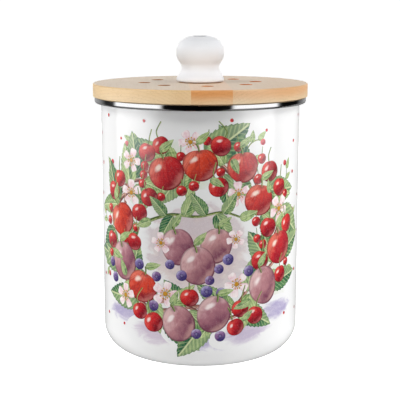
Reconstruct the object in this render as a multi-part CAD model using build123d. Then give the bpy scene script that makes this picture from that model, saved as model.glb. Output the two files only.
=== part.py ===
from build123d import *
import math
import os

# Compost caddy: a deep-drawn enamelled steel can with a crimped stainless rim band, and a round
# lift-off lid glued up from wooden staves, vented, with a porcelain knob on top and a
# charcoal filter in a twist-off holder underneath.
# Millimetres. +Z up, front of the can is -Y, origin at the centre of the base.

# ---------------------------------------------------------------- driving dimensions
# can
CAN_R = 78.8            # outside radius of the can wall
WALL = 1.0              # enamelled steel, both coats included
BASE_FILLET = 20.0      # outside radius of the base corner
STAND_OUT = 57.0        # outer radius of the standing ring
STAND_IN = 50.0         # inner radius of the standing ring
BASE_RISE = 1.4         # how far the middle of the base is pushed up
LIP_R = 2.45            # outside radius of the turned-over lip
RIM_TOP = 203.5         # top of the rim band, where the lid rests

# rim band
BAND_R = 83.8           # outside radius of the band
BAND_T = 0.5            # sheet thickness
BAND_LOW = 198.6        # lowest point of the band
BAND_IN = 77.25         # radius of the band's inside leg

# lid board
LID_R = 85.0
LID_GAP = 0.1           # lid to band
LID_T = 10.5            # height of the visible edge
LID_EDGE_TOP = 1.3      # rounding of the top edge
LID_EDGE_LOW = 0.5
PLUG_R = 73.0           # turned step that drops into the can
PLUG_H = 8.0
RECESS_R = 64.0         # turned recess that takes the filter ring
RECESS_H = 3.0
STAVE_JOINTS = [-85.6, -10.3, 19.8, 85.6]   # glue lines across the staves
STAVE_TURN = 2.5        # degrees from the Y axis to the run of the grain
VENTS = 8
VENT_R = 5.0
VENT_PCR = 44.5
VENT_PHASE = 7.0        # degrees

# seal
SEAL_GROOVE_R = 70.0
SEAL_LOW = 198.4
SEAL_H = 3.2
SEAL_TIP_R = 76.9

# knob and its fastening
KNOB_R = 19.15
KNOB_BASE_R = 18.8
KNOB_H = 35.8
PAD_T = 0.6
PAD_R = 16.8
SCREW_R = 2.0
INSERT_R = 4.0

# filter
RING_R = 63.6
RING_T = 2.0
RING_DEPTH = 12.0
FLANGE_IN = 53.0
FLANGE_T = 2.6
FILTER_R = 58.8
FILTER_T = 9.0
COVER_T = 2.0
LUGS = 3
LUG_DEG = 16.0
TWIST_DEG = 18.0
RING_SCREWS = 3
RING_SCREW_PCR = 57.4
RING_SCREW_PHASE = 45.0

LID_LOW = RIM_TOP + LID_GAP
LID_TOP = LID_LOW + LID_T
PLUG_LOW = LID_LOW - PLUG_H
RECESS_TOP = PLUG_LOW + RECESS_H
RING_LOW = RECESS_TOP - RING_DEPTH


# ---------------------------------------------------------------- helpers
def turned(*edges):
    """Solid of revolution about Z from a closed outline given in (radius, height)."""
    wire = Wire(list(edges))
    return revolve(Plane.XZ * make_face(wire), Axis.Z, 360)


def outline(points):
    """Edges of a closed outline. An item is (r, z), or ((r, z), (mid r, mid z)) for an arc that
    arrives at that point through the middle one."""
    edges = []
    ends = [p[0] if isinstance(p[0], tuple) else p for p in points]
    for i, p in enumerate(points):
        a = ends[i - 1]
        b = ends[i]
        if isinstance(p[0], tuple):
            edges.append(ThreePointArc(a, p[1], b))
        else:
            edges.append(Line(a, b))
    return edges


def turned_outline(points):
    return revolve(Plane.XZ * make_face(outline(points)), Axis.Z, 360)


def arc_mid(cx, cz, r, deg):
    return (cx + r * math.cos(math.radians(deg)), cz + r * math.sin(math.radians(deg)))


def pipe(r, low, high):
    return Pos(0, 0, low) * Cylinder(r, high - low, align=(Align.CENTER, Align.CENTER, Align.MIN))


def ring(r_out, r_in, low, high):
    return pipe(r_out, low, high) - pipe(r_in, low - 1, high + 1)


def at(r, deg, thing):
    a = math.radians(deg)
    return Pos(r * math.cos(a), r * math.sin(a), 0) * thing


def sector(r_out, r_in, low, high, start, span):
    """Part of a ring from start, over span degrees (under 180)."""
    far = r_out * 1.6
    s, e = math.radians(start), math.radians(start + span)
    m = (s + e) / 2
    pts = [(0, 0), (far * math.cos(s), far * math.sin(s)), (far * math.cos(m), far * math.sin(m)),
           (far * math.cos(e), far * math.sin(e))]
    wedge = Pos(0, 0, low) * extrude(make_face(Polyline(*pts, close=True)), high - low)
    return ring(r_out, r_in, low, high) & wedge


# ---------------------------------------------------------------- can
# one drawn piece: standing ring, base corner, wall and the lip turned over outwards
lip_c = (CAN_R - WALL + LIP_R, RIM_TOP - BAND_T - 0.05 - LIP_R)
lip_in = LIP_R - WALL
fc = (CAN_R - BASE_FILLET, BASE_FILLET)
fr_in = BASE_FILLET - WALL
can_shell = turned_outline([
    (0.0, BASE_RISE),
    (STAND_IN - 6.0, BASE_RISE),
    (STAND_IN, 0.0),
    (STAND_OUT, 0.0),
    (fc[0], 0.0),
    ((CAN_R, BASE_FILLET), arc_mid(*fc, BASE_FILLET, -45)),
    (CAN_R, lip_c[1]),
    ((lip_c[0] + lip_in, lip_c[1]), arc_mid(*lip_c, lip_in, 90)),
    (lip_c[0] + LIP_R, lip_c[1]),
    ((lip_c[0] - LIP_R, lip_c[1]), arc_mid(*lip_c, LIP_R, 90)),
    (CAN_R - WALL, BASE_FILLET),
    ((fc[0], WALL), arc_mid(*fc, fr_in, -45)),
    (STAND_IN + 0.2, WALL),
    (STAND_IN - 5.8, BASE_RISE + WALL),
    (0.0, BASE_RISE + WALL),
])

# stainless band folded over the lip: flat outside face, round underneath, leg down the inside
bt, br = BAND_T, BAND_R
under = 1.75            # radius of the rounded underside
cb = (br - under, BAND_LOW + under)
top_o, top_i = 0.65, 0.9
band_end = 79.35
rim_band = turned_outline([
    (BAND_IN, BAND_LOW + 0.6),
    (BAND_IN + bt, BAND_LOW + 0.6),
    (BAND_IN + bt, RIM_TOP - top_i),
    ((BAND_IN + top_i, RIM_TOP - bt), arc_mid(BAND_IN + top_i, RIM_TOP - top_i, top_i - bt, 135)),
    (br - top_o, RIM_TOP - bt),
    ((br - bt, RIM_TOP - top_o), arc_mid(br - top_o, RIM_TOP - top_o, top_o - bt, 45)),
    (br - bt, cb[1]),
    ((cb[0], BAND_LOW + bt), arc_mid(*cb, under - bt, -45)),
    (band_end, BAND_LOW + bt),
    (band_end, BAND_LOW),
    (cb[0], BAND_LOW),
    ((br, cb[1]), arc_mid(*cb, under, -45)),
    (br, RIM_TOP - top_o),
    ((br - top_o, RIM_TOP), arc_mid(br - top_o, RIM_TOP - top_o, top_o, 45)),
    (BAND_IN + top_i, RIM_TOP),
    ((BAND_IN, RIM_TOP - top_i), arc_mid(BAND_IN + top_i, RIM_TOP - top_i, top_i, 135)),
])

# ---------------------------------------------------------------- lid board
# turned from a board of glued staves: rounded edge, plug, seal groove and filter recess
et, el = LID_EDGE_TOP, LID_EDGE_LOW
groove_top = SEAL_LOW + SEAL_H
CBORE_R, CBORE_H = 6.0, 3.0
board = turned_outline([
    (0.0, RECESS_TOP),
    (RECESS_R, RECESS_TOP),
    (RECESS_R, PLUG_LOW),
    (PLUG_R - 1.0, PLUG_LOW),
    (PLUG_R, PLUG_LOW + 1.0),
    (PLUG_R, SEAL_LOW),
    (SEAL_GROOVE_R, SEAL_LOW),
    (SEAL_GROOVE_R, groove_top),
    (PLUG_R, groove_top),
    (PLUG_R, LID_LOW),
    (LID_R - el, LID_LOW),
    ((LID_R, LID_LOW + el), arc_mid(LID_R - el, LID_LOW + el, el, -45)),
    (LID_R, LID_TOP - et),
    ((LID_R - et, LID_TOP), arc_mid(LID_R - et, LID_TOP - et, et, 45)),
    (0.0, LID_TOP),
])
for k in range(VENTS):
    board -= at(VENT_PCR, VENT_PHASE + 360 / VENTS * k, pipe(VENT_R, RECESS_TOP - 1, LID_TOP + 1))
board -= pipe(2.25, RECESS_TOP - 1, LID_TOP + 1)            # knob screw passage
board -= pipe(CBORE_R, RECESS_TOP - 1, RECESS_TOP + CBORE_H)  # counterbore for its washer
RING_SCREW_R, RING_SCREW_LEN = 1.5, 12.0
for k in range(RING_SCREWS):
    board -= at(RING_SCREW_PCR, RING_SCREW_PHASE + 120 * k,
                pipe(RING_SCREW_R + 0.05, RECESS_TOP - 1, RECESS_TOP - FLANGE_T + RING_SCREW_LEN + 0.6))
staves = []
for a, b in zip(STAVE_JOINTS[:-1], STAVE_JOINTS[1:]):
    slab = Rot(0, 0, STAVE_TURN) * Pos((a + b) / 2, 0, (PLUG_LOW + LID_TOP) / 2) * Box(b - a, 200, 60)
    staves.append(board & slab)

# silicone ring with two fins that wipe the inside of the can
sl, sh = SEAL_LOW + 0.05, SEAL_LOW + SEAL_H - 0.05
gr = SEAL_GROOVE_R + 0.05
seal_ring = turned_outline([
    (gr, sl), (73.4, sl),
    (SEAL_TIP_R - 0.2, sl + 0.35), ((SEAL_TIP_R - 0.2, sl + 0.75), (SEAL_TIP_R, sl + 0.55)),
    (74.0, sl + 1.0), (74.0, sh - 1.0),
    (SEAL_TIP_R - 0.2, sh - 0.75), ((SEAL_TIP_R - 0.2, sh - 0.35), (SEAL_TIP_R, sh - 0.55)),
    (73.4, sh), (gr, sh),
])

# ---------------------------------------------------------------- knob
# porcelain, turned profile with a flared foot, a waist and a flattened ball; blind hole for the insert
kz = LID_TOP + PAD_T
foot = KNOB_BASE_R
INS_H, HOLE_H = 12.0, 13.0
profile = Spline(
    (foot, kz + 2.0), (18.3, kz + 3.7), (17.4, kz + 5.35), (16.2, kz + 6.95), (15.3, kz + 8.6),
    (14.9, kz + 10.9), (15.25, kz + 13.2), (16.15, kz + 14.85), (17.3, kz + 16.5), (18.4, kz + 18.9),
    (KNOB_R, kz + 23.3), (18.5, kz + 27.2), (17.1, kz + 29.7), (15.1, kz + 32.05), (12.5, kz + 33.75),
    (9.0, kz + 35.05), (4.7, kz + 35.65), (0.0, kz + KNOB_H),
    tangents=[(0.0, 1.0), (-1.0, 0.0)],
)
knob_edges = [
    Line((INSERT_R + 0.05, kz), (foot - 1.6, kz)),
    ThreePointArc((foot - 1.6, kz), (foot - 0.44, kz + 0.52), (foot, kz + 2.0)),
    profile,
    Line((0.0, kz + KNOB_H), (0.0, kz + HOLE_H)),
    Line((0.0, kz + HOLE_H), (INSERT_R + 0.05, kz + HOLE_H)),
    Line((INSERT_R + 0.05, kz + HOLE_H), (INSERT_R + 0.05, kz)),
]
knob = revolve(Plane.XZ * make_face(knob_edges), Axis.Z, 360)

knob_pad = ring(PAD_R, 5.0, LID_TOP, kz)
knob_insert = pipe(INSERT_R, kz + 0.3, kz + 0.3 + INS_H) - pipe(SCREW_R + 0.05, kz, kz + INS_H + 1)
# knurl grooves that the cement grips
for z in (3.2, 6.3, 9.4):
    knob_insert -= ring(INSERT_R + 1, INSERT_R - 0.5, kz + z, kz + z + 1.0)

w_top = RECESS_TOP + CBORE_H
WASHER_T, HEAD_H, HEAD_R = 0.8, 2.3, 3.9
knob_washer = ring(5.4, SCREW_R + 0.25, w_top - WASHER_T, w_top)
head_top = w_top - WASHER_T
SCREW_LEN = 22.0
knob_screw = pipe(HEAD_R, head_top - HEAD_H, head_top) + pipe(SCREW_R, head_top - 0.1, head_top + SCREW_LEN)
knob_screw = fillet(knob_screw.edges().filter_by(GeomType.CIRCLE).sort_by(Axis.Z)[0], 1.1)
# cross recess in the head
cross = Box(4.4, 0.9, 1.3) + Box(0.9, 4.4, 1.3)
knob_screw -= Pos(0, 0, head_top - HEAD_H + 0.64) * cross

# ---------------------------------------------------------------- filter ring
# fixed holder: inward flange screwed to the board, wall with three bayonet slots
fl_low = RECESS_TOP - FLANGE_T
filter_ring = ring(RING_R, RING_R - RING_T, RING_LOW, RECESS_TOP) + ring(RING_R, FLANGE_IN, fl_low, RECESS_TOP)
for k in range(RING_SCREWS):
    hole = pipe(RING_SCREW_R + 0.15, fl_low - 1, RECESS_TOP + 1)
    cone = Pos(0, 0, fl_low + 0.9) * Cone(3.15, RING_SCREW_R + 0.15, 1.8)
    filter_ring -= at(RING_SCREW_PCR, RING_SCREW_PHASE + 120 * k, hole + cone)
lug_low, lug_high = RING_LOW + 2.8, RING_LOW + 5.0
CLR = 0.35
clr_deg = math.degrees(CLR / RING_R)
LUG_PHASE = 95.0
for k in range(LUGS):
    s = LUG_PHASE + 120 * k
    # the run that the lug turns in, closed at its low end, and the way in from below
    filter_ring -= sector(RING_R + 1, RING_R - RING_T - 1, lug_low - CLR, lug_high + CLR,
                          s - clr_deg, LUG_DEG + TWIST_DEG + 2 * clr_deg)
    filter_ring -= sector(RING_R + 1, RING_R - RING_T - 1, RING_LOW - 1, lug_high + CLR,
                          s + TWIST_DEG - clr_deg, LUG_DEG + 2 * clr_deg)

# countersunk wood screws through the flange
screws = []
for k in range(RING_SCREWS):
    z0 = fl_low
    sh_r = RING_SCREW_R
    one = turned_outline([
        (0.0, z0), (2.9, z0), (sh_r, z0 + 1.7), (sh_r, z0 + RING_SCREW_LEN - 2.2),
        (0.25, z0 + RING_SCREW_LEN), (0.0, z0 + RING_SCREW_LEN),
    ])
    slot = Pos(0, 0, z0 + 0.4) * (Box(2.8, 0.6, 0.9) + Box(0.6, 2.8, 0.9))
    screws.append(at(RING_SCREW_PCR, RING_SCREW_PHASE + 120 * k, one - slot))
filter_ring_screws = Compound(children=screws)

# ---------------------------------------------------------------- filter cover
# shallow cup with a slotted floor, three lugs on its wall and a finger bar underneath
CUP_R = RING_R - RING_T - 0.4
cov_top = RING_LOW - 0.3
cov_low = cov_top - COVER_T
cup_top = RING_LOW + 6.4
filter_cover = pipe(RING_R, cov_low, cov_top) + ring(CUP_R, CUP_R - 1.8, cov_top - 0.5, cup_top)
filter_cover = filter_cover - ring(RING_R + 1, RING_R - 0.6, cov_low - 1, cov_low + 0.6)
SLOT_W, SPOKE = 3.6, 4.0
spokes = None
for k in range(3):
    bar = Rot(0, 0, 30 + 60 * k) * Box(2 * RING_R, SPOKE, 12)
    spokes = bar if spokes is None else spokes + bar
spokes = Pos(0, 0, cov_low + 1) * spokes
for r in (13.0, 20.2, 27.4, 34.6, 41.8, 49.0):
    filter_cover -= ring(r + SLOT_W / 2, r - SLOT_W / 2, cov_low - 1, cov_top + 0.2) - spokes
BAR_L, BAR_W, BAR_H = 84.0, 3.6, 7.0
bar = Pos(0, 0, cov_low - BAR_H / 2 + 0.2) * Box(BAR_L, BAR_W, BAR_H + 0.4)
bar = fillet(bar.edges().filter_by(Axis.Y).sort_by(Axis.Z)[0:2], 5.0)
bar = Rot(0, 0, 30) * bar
filter_cover += bar
for k in range(LUGS):
    filter_cover += sector(RING_R - 0.5, CUP_R - 0.6, lug_low, lug_high, LUG_PHASE + 120 * k, LUG_DEG)

charcoal_filter = pipe(FILTER_R, cov_top + 0.05, cov_top + 0.05 + FILTER_T)

# ---------------------------------------------------------------- write
nodes = {
    "can_shell": can_shell,
    "rim_band": rim_band,
    "seal_ring": seal_ring,
    "knob": knob,
    "knob_pad": knob_pad,
    "knob_insert": knob_insert,
    "knob_screw": knob_screw,
    "knob_washer": knob_washer,
    "filter_ring": filter_ring,
    "filter_ring_screws": filter_ring_screws,
    "filter_cover": filter_cover,
    "charcoal_filter": charcoal_filter,
}
for i, s in enumerate(staves):
    nodes[f"lid_stave_{i + 1}"] = s

os.makedirs("parts", exist_ok=True)
for name, shape in nodes.items():
    export_step(shape, f"parts/{name}.step")
    print(name, len(shape.solids()), round(shape.volume, 1))
print("rim top", RIM_TOP, "lid", LID_LOW, LID_TOP, "recess", RECESS_TOP, "ring low", RING_LOW,
      "cover", cov_low, cov_top, "bar low", cov_low - BAR_H, "knob top", kz + KNOB_H)
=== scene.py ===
import math
import random

import bpy
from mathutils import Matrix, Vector
from mathutils.geometry import delaunay_2d_cdt


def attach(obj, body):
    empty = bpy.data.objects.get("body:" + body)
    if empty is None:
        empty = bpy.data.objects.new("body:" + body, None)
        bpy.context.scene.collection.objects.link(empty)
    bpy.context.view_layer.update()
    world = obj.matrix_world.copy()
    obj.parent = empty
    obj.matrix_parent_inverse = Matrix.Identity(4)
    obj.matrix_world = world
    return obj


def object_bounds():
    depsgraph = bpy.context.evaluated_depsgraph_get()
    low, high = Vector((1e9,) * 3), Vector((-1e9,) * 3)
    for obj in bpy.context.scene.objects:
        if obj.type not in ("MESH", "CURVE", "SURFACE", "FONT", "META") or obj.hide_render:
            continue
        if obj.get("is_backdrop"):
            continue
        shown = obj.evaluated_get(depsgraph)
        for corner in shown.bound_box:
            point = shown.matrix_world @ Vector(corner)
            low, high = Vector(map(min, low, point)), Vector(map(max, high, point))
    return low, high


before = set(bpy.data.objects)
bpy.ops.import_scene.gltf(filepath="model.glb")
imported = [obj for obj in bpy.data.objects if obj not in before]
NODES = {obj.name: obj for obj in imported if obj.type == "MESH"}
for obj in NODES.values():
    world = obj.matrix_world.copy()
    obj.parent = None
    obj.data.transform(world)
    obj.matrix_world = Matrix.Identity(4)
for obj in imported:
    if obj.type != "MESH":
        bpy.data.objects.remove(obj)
cad_low, cad_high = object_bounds()
SCENE = bpy.context.scene


# ------------------------------------------------------------------ shader shorthand
class S:
    """A float or vector socket that can be calculated with."""

    def __init__(self, tree, out):
        self.tree, self.out = tree, out

    def math(self, op, *others, clamp=False):
        n = self.tree.nodes.new("ShaderNodeMath")
        n.operation, n.use_clamp = op, clamp
        for i, a in enumerate((self,) + others):
            if isinstance(a, S):
                self.tree.links.new(a.out, n.inputs[i])
            else:
                n.inputs[i].default_value = a
        return S(self.tree, n.outputs[0])

    def __add__(self, o): return self.math("ADD", o)
    def __radd__(self, o): return self.math("ADD", o)
    def __sub__(self, o): return self.math("SUBTRACT", o)
    def __rsub__(self, o): return self.math("MULTIPLY", -1.0).math("ADD", o)
    def __mul__(self, o): return self.math("MULTIPLY", o)
    def __rmul__(self, o): return self.math("MULTIPLY", o)
    def __truediv__(self, o): return self.math("DIVIDE", o)
    def abs(self): return self.math("ABSOLUTE")
    def sqrt(self): return self.math("SQRT")
    def sin(self): return self.math("SINE")
    def frac(self): return self.math("FRACT")
    def max(self, o): return self.math("MAXIMUM", o)
    def min(self, o): return self.math("MINIMUM", o)
    def pow(self, o): return self.math("POWER", o)
    def clamp(self): return self.math("ADD", 0.0, clamp=True)

    def step(self, low, high, out_low=0.0, out_high=1.0):
        """Smooth step from low to high."""
        n = self.tree.nodes.new("ShaderNodeMapRange")
        n.interpolation_type = "SMOOTHSTEP"
        self.tree.links.new(self.out, n.inputs["Value"])
        n.inputs["From Min"].default_value, n.inputs["From Max"].default_value = low, high
        n.inputs["To Min"].default_value, n.inputs["To Max"].default_value = out_low, out_high
        return S(self.tree, n.outputs["Result"])


class Mat:
    def __init__(self, name, metallic=0.0, roughness=0.5, specular=0.5, coat=0.0, coat_roughness=0.1,
                 sheen=0.0, subsurface=0.0):
        self.mat = bpy.data.materials.new(name)
        self.mat.use_nodes = True
        self.tree = self.mat.node_tree
        self.shader = self.tree.nodes["Principled BSDF"]
        for key, value in {"Metallic": metallic, "Roughness": roughness, "Specular IOR Level": specular,
                           "Coat Weight": coat, "Coat Roughness": coat_roughness, "Sheen Weight": sheen,
                           "Subsurface Weight": subsurface}.items():
            self.shader.inputs[key].default_value = value

    def coords(self, scale=(1, 1, 1), shift=(0, 0, 0), turn=0.0):
        """The piece's own coordinates in metres, scaled, turned back about Z by degrees, and shifted."""
        t = self.tree.nodes.new("ShaderNodeTexCoord")
        m = self.tree.nodes.new("ShaderNodeMapping")
        m.inputs["Rotation"].default_value = (0, 0, math.radians(-turn))
        m.inputs["Scale"].default_value = scale
        m.inputs["Location"].default_value = shift
        self.tree.links.new(t.outputs["Object"], m.inputs["Vector"])
        return S(self.tree, m.outputs["Vector"])

    def uv(self, name):
        n = self.tree.nodes.new("ShaderNodeUVMap")
        n.uv_map = name
        return self.split(S(self.tree, n.outputs["UV"]))[:2]

    def split(self, v):
        n = self.tree.nodes.new("ShaderNodeSeparateXYZ")
        self.tree.links.new(v.out, n.inputs[0])
        return [S(self.tree, o) for o in n.outputs]

    def join(self, *xyz):
        n = self.tree.nodes.new("ShaderNodeCombineXYZ")
        for i, a in enumerate(xyz):
            if isinstance(a, S):
                self.tree.links.new(a.out, n.inputs[i])
            else:
                n.inputs[i].default_value = a
        return S(self.tree, n.outputs[0])

    def facing_up(self):
        n = self.tree.nodes.new("ShaderNodeNewGeometry")
        return self.split(S(self.tree, n.outputs["Normal"]))[2]

    def noise(self, vector, scale=1.0, detail=2.0, rough=0.5, distortion=0.0):
        n = self.tree.nodes.new("ShaderNodeTexNoise")
        self.tree.links.new(vector.out, n.inputs["Vector"])
        for key, value in {"Scale": scale, "Detail": detail, "Roughness": rough, "Distortion": distortion}.items():
            n.inputs[key].default_value = value
        return S(self.tree, n.outputs["Fac"] if "Fac" in n.outputs else n.outputs[0])

    def cells(self, vector, scale=1.0, feature="F1"):
        n = self.tree.nodes.new("ShaderNodeTexVoronoi")
        n.feature = feature
        self.tree.links.new(vector.out, n.inputs["Vector"])
        n.inputs["Scale"].default_value = scale
        return S(self.tree, n.outputs["Distance"])

    def mix(self, fac, a, b, blend="MIX"):
        """Colours mixed by a float."""
        n = self.tree.nodes.new("ShaderNodeMix")
        n.data_type, n.blend_type = "RGBA", blend
        n.clamp_factor = True
        for key, value in (("Factor_Float", fac), ("A_Color", a), ("B_Color", b)):
            socket = [s for s in n.inputs if s.identifier == key][0]
            if isinstance(value, S):
                self.tree.links.new(value.out, socket)
            elif isinstance(value, (int, float)):
                socket.default_value = value
            else:
                socket.default_value = (*value, 1.0)[:4]
        return S(self.tree, [s for s in n.outputs if s.identifier == "Result_Color"][0])

    def ramp(self, fac, *stops):
        n = self.tree.nodes.new("ShaderNodeValToRGB")
        while len(n.color_ramp.elements) < len(stops):
            n.color_ramp.elements.new(0.5)
        for e, (at, colour) in zip(n.color_ramp.elements, stops):
            e.position, e.color = at, (*colour, 1.0)
        self.tree.links.new(fac.out, n.inputs["Fac"])
        return S(self.tree, n.outputs["Color"])

    def set(self, name, s):
        self.tree.links.new(s.out, self.shader.inputs[name])

    def bump(self, height, strength=0.2, distance=0.001, over=None):
        n = self.tree.nodes.new("ShaderNodeBump")
        n.inputs["Strength"].default_value = strength
        n.inputs["Distance"].default_value = distance
        self.tree.links.new(height.out, n.inputs["Height"])
        if over is not None:
            self.tree.links.new(over.out, n.inputs["Normal"])
        self.tree.links.new(n.outputs["Normal"], self.shader.inputs["Normal"])
        return S(self.tree, n.outputs["Normal"])


def srgb(r, g, b):
    """Linear colour from 0 to 255 display values."""
    return tuple((c / 255 / 12.92) if c / 255 <= 0.04045 else ((c / 255 + 0.055) / 1.055) ** 2.4 for c in (r, g, b))


def paint(node, mat):
    o = NODES[node]
    o.data.materials.clear()
    o.data.materials.append(mat.mat)


# ------------------------------------------------------------------ enamel
WHITE = (0.87, 0.87, 0.865)


def enamel_coat(m, colour=None):
    """The glass coat that the can and its print share: faint ripple, faint cloudiness."""
    c = m.coords()
    cloud = m.noise(c, 28.0, 3.0, 0.55)
    ripple = m.noise(c, 150.0, 2.0, 0.5)
    if colour is None:
        colour = enamel_white(m, cloud)
    m.set("Base Color", colour)
    m.set("Roughness", cloud * 0.05 + ripple * 0.03 + 0.13)
    m.bump(ripple * 0.6 + cloud * 1.5, 0.09, 0.0004)
    return m


def enamel_white(m, cloud=None):
    cloud = cloud or m.noise(m.coords(), 28.0, 3.0, 0.55)
    return m.mix(cloud.step(0.35, 0.7), WHITE, (WHITE[0] * 0.975, WHITE[1] * 0.975, WHITE[2] * 0.985))


def make_enamel():
    m = Mat("enamel", specular=0.5)
    x, y, z = m.split(m.coords())
    r = (x * x + y * y).sqrt()
    white = enamel_white(m)
    # pin holes, and the ground coat showing at the standing ring where the white is thin
    pits = m.cells(m.coords(), 55.0)
    pitted = m.mix(pits.step(0.012, 0.02), srgb(96, 92, 88), white)
    worn = z.step(0.0012, 0.0003) * r.step(0.047, 0.0505) * r.step(0.0585, 0.0565)
    rub = m.noise(m.coords(), 260.0, 4.0, 0.7)
    return enamel_coat(m, m.mix(worn * rub.step(0.35, 0.6), pitted, srgb(58, 60, 66)))


paint("can_shell", make_enamel())


# ------------------------------------------------------------------ print colours
# Each kind of motif is painted in its own coordinates like a water colour: pooled pigment, soft
# patches, a darker line where the wash dried, and paper grain. All of it lies under the same glass coat.
def brushwork(m, x, y, seed):
    """Soft patches and fine grain that follow the motif."""
    blot = m.noise(m.join(x * 1.1 + seed * 17.0, y * 1.1 + seed * 9.0, seed * 5.0), 1.7, 3.0, 0.55, 0.4)
    grain = m.noise(m.coords(), 1150.0, 3.0, 0.7)
    return blot, grain


def fruit_paint(name, shades, warm, deep, body, bright, shine, rim, streaks=0.0):
    """shades: lower and upper limit of the body wash. warm: the other body colour, by tone."""
    m = Mat(name)
    x, y = m.uv("paint")
    seed, tone = m.uv("tint")
    blot, grain = brushwork(m, x, y, seed)
    d = (x * x + y * y).sqrt()
    lit = y * 0.72 - x * 0.66 + (blot - 0.5) * 1.3
    main = m.mix(tone, body, warm)
    colour = m.mix(lit.step(*shades), deep, main)
    colour = m.mix(lit.step(0.05, 0.85) * 0.85, colour, bright)
    if streaks:
        ray = m.noise(m.join((x / (1.25 - y)) * 5.0 + seed * 9.0, y * 0.7, seed), 2.2, 2.0, 0.6)
        colour = m.mix(ray.step(0.46, 0.62) * streaks, colour, deep)
    back = (x * 0.66 - y * 0.72 + (blot - 0.5) * 0.5).step(0.45, 0.85) * d.step(1.0, 0.86)
    colour = m.mix(back * 0.55, colour, rim)
    hx, hy = x + 0.36, y - 0.34
    spot = ((hx * 0.8 + hy * 0.6) * (hx * 0.8 + hy * 0.6) * 1.0 + (hx * 0.6 - hy * 0.8) * (hx * 0.6 - hy * 0.8) * 3.2).sqrt()
    colour = m.mix((spot + (blot - 0.5) * 0.5).step(0.36, 0.08) * 0.88, colour, shine)
    colour = m.mix(((y - 0.80) * (y - 0.80) * 2.5 + x * x * 0.9).sqrt().step(0.34, 0.04) * 0.65, colour, deep)
    colour = m.mix((d + grain * 0.10).step(0.93, 1.04) * 0.6, colour, tuple(k * 0.55 for k in deep))
    colour = m.mix(grain.step(0.46, 0.72) * 0.07, colour, shine)
    return enamel_coat(m, colour)


def berry_paint():
    m = Mat("print_berry")
    x, y = m.uv("paint")
    seed, tone = m.uv("tint")
    blot, grain = brushwork(m, x, y, seed)
    d = (x * x + y * y).sqrt()
    lit = y * 0.7 - x * 0.6 + (blot - 0.5) * 1.2
    colour = m.mix(lit.step(-0.7, 0.6), srgb(64, 52, 110), m.mix(tone, srgb(128, 118, 178), srgb(148, 104, 150)))
    colour = m.mix(lit.step(0.35, 0.95) * 0.7, colour, srgb(206, 202, 228))
    turn = y.math("ARCTAN2", x)
    crown = d - (turn * 5.0 + seed * 6.0).sin() * 0.07
    colour = m.mix(crown.step(0.40, 0.33) * 0.75, colour, srgb(56, 44, 92))
    colour = m.mix(crown.step(0.25, 0.16) * 0.6, colour, srgb(152, 142, 186))
    colour = m.mix(d.step(0.88, 1.0) * 0.5, colour, srgb(46, 38, 86))
    return enamel_coat(m, m.mix(grain.step(0.46, 0.72) * 0.08, colour, srgb(226, 222, 238)))


def leaf_paint():
    m = Mat("print_leaf")
    u, v = m.uv("paint")
    seed, tone = m.uv("tint")
    blot = m.noise(m.join(u * 2.2 + seed * 13.0, v * 0.9 + seed * 7.0, seed * 5.0), 1.9, 3.0, 0.6, 0.5)
    grain = m.noise(m.coords(), 1150.0, 3.0, 0.7)
    wide = u.max(0.001).sqrt() * 2.6 * (1.0 - u).max(0.02)
    across = v.abs() / wide.max(0.05)
    dark = m.mix(blot.step(0.35, 0.68), srgb(28, 92, 66), srgb(88, 138, 84))
    pale = m.mix(blot.step(0.35, 0.68), srgb(122, 158, 86), srgb(196, 214, 148))
    colour = m.mix((tone * 0.8 + (blot - 0.5) * 0.9 + across * 0.12).step(0.12, 0.85), dark, pale)
    # one half of the blade turns to the light
    colour = m.mix(v.step(-0.10, 0.14) * 0.34, colour, srgb(206, 220, 162))
    # between the side veins the wash is darker
    bars = ((u - v.abs() * 0.34) * 8.5 + seed).frac()
    vein = (bars - 0.5).abs().step(0.34, 0.50)
    gap = (bars - 0.5).abs().step(0.30, 0.02)
    inside = across.step(0.98, 0.80)
    colour = m.mix(gap * inside * 0.30, colour, srgb(30, 84, 60))
    colour = m.mix(vein * inside * 0.42, colour, srgb(214, 224, 170))
    mid = (v.abs() * 14.0 - 0.35).step(1.0, 0.0) * u.step(0.99, 0.90)
    colour = m.mix(mid * 0.75, colour, srgb(222, 228, 176))
    colour = m.mix((v * 10.0 + 1.0).abs().step(0.8, 0.1) * 0.35, colour, srgb(30, 78, 58))
    colour = m.mix((across + grain * 0.10).step(0.86, 1.02) * 0.36, colour, srgb(40, 92, 60))
    colour = m.mix(u.step(0.16, 0.0) * 0.4, colour, srgb(70, 104, 58))
    return enamel_coat(m, m.mix(grain.step(0.44, 0.70) * 0.11, colour, srgb(236, 240, 214)))


def stem_paint(name, dark, body, light):
    m = Mat(name)
    u, v = m.uv("paint")
    seed, tone = m.uv("tint")
    run = m.noise(m.join(u * 1.0 + seed * 9.0, v * 0.35, seed * 3.0), 2.4, 3.0, 0.6)
    grain = m.noise(m.coords(), 1150.0, 3.0, 0.7)
    colour = m.mix((v * -0.6 + (run - 0.5) * 1.6 + (tone - 0.5) * 0.7).step(-0.7, 0.6), dark, body)
    colour = m.mix((v + 0.35).abs().step(0.42, 0.05) * run.step(0.35, 0.6) * 0.8, colour, light)
    knots = ((u * 0.55 + seed + run * 0.5).frac() - 0.5).abs()
    colour = m.mix(knots.step(0.06, 0.0) * 0.5, colour, dark)
    colour = m.mix(v.abs().step(0.70, 1.0) * 0.45, colour, tuple(k * 0.7 for k in dark))
    return enamel_coat(m, m.mix(grain.step(0.46, 0.72) * 0.14, colour, light))


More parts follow.
